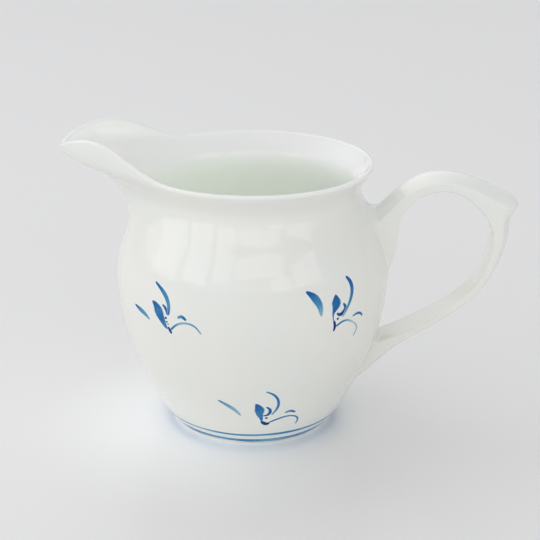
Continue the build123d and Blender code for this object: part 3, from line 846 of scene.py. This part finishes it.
def glaze_bump(nodes):
    """The glaze's slow waviness and its fine orange peel, shared by porcelain and paint."""
    waviness = nodes.noise(WAVE_SCALE, 1.0)
    slow = nodes.add("ShaderNodeBump", Strength=1.0, Distance=WAVE_DEPTH, Height=waviness)
    peel = nodes.noise(PEEL_SCALE, 1.0)
    fine = nodes.add(
        "ShaderNodeBump", Strength=1.0, Distance=PEEL_DEPTH, Height=peel, Normal=slow.outputs[0])
    return fine.outputs[0]


def porcelain_colour(nodes):
    """White with a slow drift between a warm and a cool tone."""
    drift = nodes.ramp(nodes.noise(DRIFT_SCALE), [(0.35, (0, 0, 0, 1)), (0.65, (1, 1, 1, 1))])
    return nodes.blend(drift, PORCELAIN_WHITE, PORCELAIN_COOL)


def porcelain():
    """Glazed white porcelain: greener deep inside, from pooled glaze and painted shade, bare and matt under
    the foot.
    """
    nodes = new_material("glazed_porcelain")
    colour = porcelain_colour(nodes)
    height = nodes.add("ShaderNodeSeparateXYZ", Vector=nodes.place()).outputs["Z"]
    # deep inside, the white turns greener: partly pooled glaze, partly painted shade
    below = nodes.math("SUBTRACT", POOL_AND_SHADE_TOP, height)
    deep = nodes.math("MULTIPLY", below, POOL_AND_SHADE_GROWTH, clamp=True)
    pooled_and_shaded = nodes.math("MULTIPLY", deep, nodes.value("inner"))
    colour = nodes.blend(pooled_and_shaded, colour, GLAZE_POOL_AND_SHADE)
    bare = nodes.value("bare")
    grain = nodes.noise(GRAIN_SCALE, 3.0, 0.7)
    clay = nodes.blend(grain, BARE_CLAY, BARE_GRAIN)
    colour = nodes.blend(bare, colour, clay)
    rough = nodes.math("ADD", nodes.math("MULTIPLY", bare, CLAY_ROUGHNESS), GLAZE_ROUGHNESS)
    # light that falls on the outside comes through the thin wall to the inside
    inner = nodes.value("inner")
    carry = nodes.math("ADD", nodes.math("MULTIPLY", inner, INNER_CARRY), OUTER_CARRY)
    through = nodes.math("MULTIPLY", inner, THROUGH)
    surface = nodes.add(
        "ShaderNodeBsdfPrincipled", Base_Color=colour, Roughness=rough, IOR=GLAZE_IOR,
        Normal=glaze_bump(nodes), Subsurface_Weight=through, Subsurface_Radius=CARRY_TINT,
        Subsurface_Scale=carry)
    return nodes.finish(surface.outputs[0])


def cobalt(name, strength, streaks):
    """Underglaze cobalt: thin paint shows the white, thick paint goes to navy, edges gather ink."""
    nodes = new_material(name)
    side = nodes.math("ABSOLUTE", nodes.value("side"))
    ink = nodes.math("MULTIPLY", nodes.value("ink"), strength)
    wash = nodes.noise(WASH_SCALE)
    ink = nodes.math("MULTIPLY", ink, nodes.math("ADD", nodes.math("MULTIPLY", wash, 0.5), 0.75))
    # hair lines of the brush, drawn out along the stroke
    across = nodes.math("MULTIPLY", nodes.value("side"), HAIR_ACROSS)
    run = nodes.math("MULTIPLY", nodes.value("streak"), HAIR_ALONG)
    hair = nodes.noise(1.0, 3.0, 0.6, nodes.add("ShaderNodeCombineXYZ", X=across, Y=run).outputs[0])
    streaked = nodes.math("ADD", nodes.math("MULTIPLY", hair, streaks), 1 - streaks / 2)
    ink = nodes.math("MULTIPLY", ink, streaked)
    # ink gathers just inside the edge, then fades out into the glaze
    gathered = nodes.math("MULTIPLY", nodes.math("POWER", side, 4.0), GATHER)
    ink = nodes.math("ADD", ink, nodes.math("MULTIPLY", gathered, ink))
    ragged = nodes.math("MULTIPLY", nodes.math("SUBTRACT", wash, 0.5), EDGE_RAGGED)
    edge = nodes.add(
        "ShaderNodeMapRange", {"interpolation_type": "SMOOTHSTEP"}, Value=nodes.math("ADD", side, ragged),
        From_Min=EDGE_FADE[0], From_Max=EDGE_FADE[1])
    ink = nodes.math("MULTIPLY", ink, edge.outputs[0])
    tint = nodes.ramp(nodes.math("DIVIDE", ink, FULL_INK), INK_TINTS)
    painted = nodes.blend(1.0, porcelain_colour(nodes), tint, "MULTIPLY")
    surface = nodes.add(
        "ShaderNodeBsdfPrincipled", Base_Color=painted, Roughness=GLAZE_ROUGHNESS,
        IOR=GLAZE_IOR, Specular_IOR_Level=PAINT_SHINE, Normal=glaze_bump(nodes))
    return nodes.finish(surface.outputs[0])


# ---- stage --------------------------------------------------------------------------------
# Lengths on the stage are in metres.
FLOOR_SIDES = 96
# The floor from near the middle out to its raised edge, as (radius, height).
FLOOR_PROFILE = [(0.4, 0.0), (0.9, 0.0), (1.6, 0.0), (2.2, 0.0), (2.6, 0.05), (2.9, 0.2), (3.1, 0.5)]
FLOOR_LIGHT = shade(235, 234, 233)
FLOOR_DARK = shade(233, 232, 231)
FLOOR_ROUGHNESS = 0.32
PAINTED_LIGHT_MIDDLE = (-0.01, -0.012, 0.0)      # painted light: the floor glows faintly round here, with no lamp,
PAINTED_LIGHT_REACH = 0.058          # this far out,
PAINTED_FLOOR_LIGHT = 0.22           # this strongly in the middle,
PAINTED_LIGHT_FADE = 1.5             # and fading with this power
PAINTED_LIGHT_TINT = (0.85, 0.93, 1.0, 1.0)


def floor_material():
    """A pale paper sweep with a faint mottle, and painted light, an emission glow round the jug's foot that
    lifts the shade there.
    """
    nodes = new_material("pale_paper")
    tone = nodes.blend(nodes.noise(3.0, 3.0), FLOOR_LIGHT, FLOOR_DARK)
    # painted light: an emission pool on the floor round the foot, in place of its shade
    away = nodes.add("ShaderNodeVectorMath", {"operation": "DISTANCE"}, i0=nodes.place(), i1=PAINTED_LIGHT_MIDDLE)
    glow = nodes.math("SUBTRACT", 1.0, nodes.math("DIVIDE", away.outputs["Value"], PAINTED_LIGHT_REACH), clamp=True)
    glow = nodes.math("MULTIPLY", nodes.math("POWER", glow, PAINTED_LIGHT_FADE), PAINTED_FLOOR_LIGHT)
    surface = nodes.add(
        "ShaderNodeBsdfPrincipled", Base_Color=tone, Roughness=FLOOR_ROUGHNESS,
        Emission_Color=PAINTED_LIGHT_TINT, Emission_Strength=glow)
    return nodes.finish(surface.outputs[0])


def build_stage():
    """A wide round floor whose edge sweeps up."""
    turn = np.arange(FLOOR_SIDES) / FLOOR_SIDES * 2 * pi
    across = np.stack([np.cos(turn), np.sin(turn), 0 * turn], -1)
    rings = [r * across + (0, 0, z) for r, z in FLOOR_PROFILE]
    points = np.concatenate(rings + [np.zeros((1, 3))]) / MM
    faces = ring_faces(len(FLOOR_PROFILE), FLOOR_SIDES)
    faces += fan_faces(list(range(FLOOR_SIDES)), len(FLOOR_PROFILE) * FLOOR_SIDES, flip=True)
    floor = make_mesh("floor", points, faces, floor_material())


AIM_HEIGHT = 0.05           # the windows face this height on the axis,
PANE_DISTANCE = 1.6         # from this far away
# Windows as (azimuth, elevation, width, height) in degrees, seen from the jug.
SIDE_WINDOW = (77, 17, 26, 24)
FAR_WINDOWS = [(48, 22, 20, 22), (24, 26, 15, 18), (-9, 29, 38, 13), (-26, 14, 17, 14), (-51, 19, 24, 20)]
SIDE_GLOW = 0.8             # brightness of the windows
FAR_GLOW = 0.98
ROOM_EVEN = 0.47            # brightness of the room all round,
ROOM_LEFT = 0.26            # what is added towards the left,
ROOM_BACK = 1.3             # high up behind the jug,
ROOM_LEVEL = 0.85           # and near the horizon on the camera's side
BACK_WAY = (-0.6, 0.8)      # the way to the light behind the jug, as x and y
HIGH = (0.1, 0.6)           # how high it begins and is full, as sines of the elevation
LEVEL_FADE = 2.0            # the power with which the light near the horizon fades with height
ROOM_TINT = (0.97, 0.98, 1.0, 1.0)


def pane(name, azimuth, elevation, wide, tall, glow):
    """A lit pane that faces the jug, in degrees left of the camera's side (-Y) and above level."""
    width = 2 * PANE_DISTANCE * tan(radians(wide) / 2)
    height = 2 * PANE_DISTANCE * tan(radians(tall) / 2)
    light = bpy.data.lights.new(name, "AREA")
    light.shape = "RECTANGLE"
    light.size = width
    light.size_y = height
    light.energy = glow * pi * width * height
    lamp = bpy.data.objects.new(name, light)
    a, e = radians(azimuth), radians(elevation)
    outward = (-sin(a) * cos(e), -cos(a) * cos(e), sin(e))
    lamp.location = [PANE_DISTANCE * c + base for c, base in zip(outward, (0.0, 0.0, AIM_HEIGHT))]
    lamp.rotation_euler = Vector(outward).to_track_quat("Z", "Y").to_euler()
    bpy.context.scene.collection.objects.link(lamp)


def build_room():
    """The light of the room: even, with more from the left, from high behind and from the front."""
    world = bpy.data.worlds.new("soft_room")
    bpy.context.scene.world = world
    world.use_nodes = True
    nodes = Nodes(world)
    way = nodes.add("ShaderNodeTexCoord").outputs["Generated"]
    x, y, z = nodes.add("ShaderNodeSeparateXYZ", Vector=way).outputs
    rise = nodes.math("DIVIDE", nodes.math("SUBTRACT", z, HIGH[0]), HIGH[1] - HIGH[0], clamp=True)
    level = nodes.math("POWER", nodes.math("SUBTRACT", 1.0, nodes.math("ABSOLUTE", z)), LEVEL_FADE)
    ahead = nodes.math("SUBTRACT", 0.5, nodes.math("MULTIPLY", y, 0.5))
    behind = nodes.math(
        "ADD", nodes.math("MULTIPLY", x, BACK_WAY[0]), nodes.math("MULTIPLY", y, BACK_WAY[1]))
    lobes = (
        (nodes.math("MAXIMUM", nodes.math("MULTIPLY", x, -1.0), 0.0), ROOM_LEFT),
        (nodes.math("MULTIPLY", nodes.math("MAXIMUM", behind, 0.0), rise), ROOM_BACK),
        (nodes.math("MULTIPLY", level, ahead), ROOM_LEVEL),
    )
    strength = ROOM_EVEN
    for lobe, amount in lobes:
        strength = nodes.math("ADD", strength, nodes.math("MULTIPLY", lobe, amount))
    light = nodes.add("ShaderNodeBackground", Color=ROOM_TINT, Strength=strength)
    nodes.add("ShaderNodeOutputWorld", Surface=light.outputs[0])


def build_lights():
    """A window on the left, and a row of slightly brighter ones towards the camera's side."""
    pane("side_window", *SIDE_WINDOW, SIDE_GLOW)
    for number, place_and_size in enumerate(FAR_WINDOWS):
        pane(f"far_window_{number}", *place_and_size, FAR_GLOW)


CAMERA_TURN = 3.0           # degrees round the axis from the jug's side towards the handle
CAMERA_PITCH = 20.43        # degrees that it looks down
CAMERA_DISTANCE = 0.3896    # from the axis
CAMERA_HEIGHT = 0.1906
CAMERA_LENS = 93.33         # focal length and sensor width in mm
CAMERA_SENSOR = 36.0
CAMERA_SHIFT = 0.0322       # sideways shift of the picture, in picture widths


def build_camera():
    """A camera a little above the rim, nearly square to the jug's side."""
    turn = radians(CAMERA_TURN)
    data = bpy.data.cameras.new("camera")
    data.sensor_width = CAMERA_SENSOR
    data.lens = CAMERA_LENS
    data.shift_x = CAMERA_SHIFT
    data.clip_start = 0.02
    data.clip_end = 20.0
    camera = bpy.data.objects.new("camera", data)
    camera.location = (CAMERA_DISTANCE * sin(turn), -CAMERA_DISTANCE * cos(turn), CAMERA_HEIGHT)
    camera.rotation_euler = (pi / 2 - radians(CAMERA_PITCH), 0.0, turn)
    bpy.context.scene.collection.objects.link(camera)
    bpy.context.scene.camera = camera


# ---- assembly -----------------------------------------------------------------------------
glazed = porcelain()
place(build_body(glazed), "porcelain", "jug_body")
place(build_handle(glazed), "porcelain", "handle")
place(build_slip("slip_joint_lower", glazed, False, LOWER_SLIP_REACH), "slip", "lower_slip_joint")
place(build_slip("slip_joint_upper", glazed, True, UPPER_SLIP_REACH), "slip", "upper_slip_joint")

strong = cobalt("cobalt_strong", 1.25, 0.25)
pale = cobalt("cobalt_pale", 0.95, 0.25)
brushed = cobalt("cobalt_brush", 1.0, 0.5)
place(band("painted_band_lower", "foot_band_lower", strong, 0.6), "cobalt_strong", "foot_band_lower")
place(band("painted_band_upper", "foot_band_upper", pale, 2.1), "cobalt_pale", "foot_band_upper")
for node in SPRAYS:
    spray = build_spray("painted_" + node, node, brushed)
    place(let_light_through(spray), "cobalt_brush", node)

build_stage()
build_room()
build_lights()
build_camera()
bpy.context.scene.view_settings.view_transform = "Standard"
# light bounces often in the white bowl and through its wall
bpy.context.scene.cycles.max_bounces = 24
bpy.context.scene.cycles.diffuse_bounces = 14
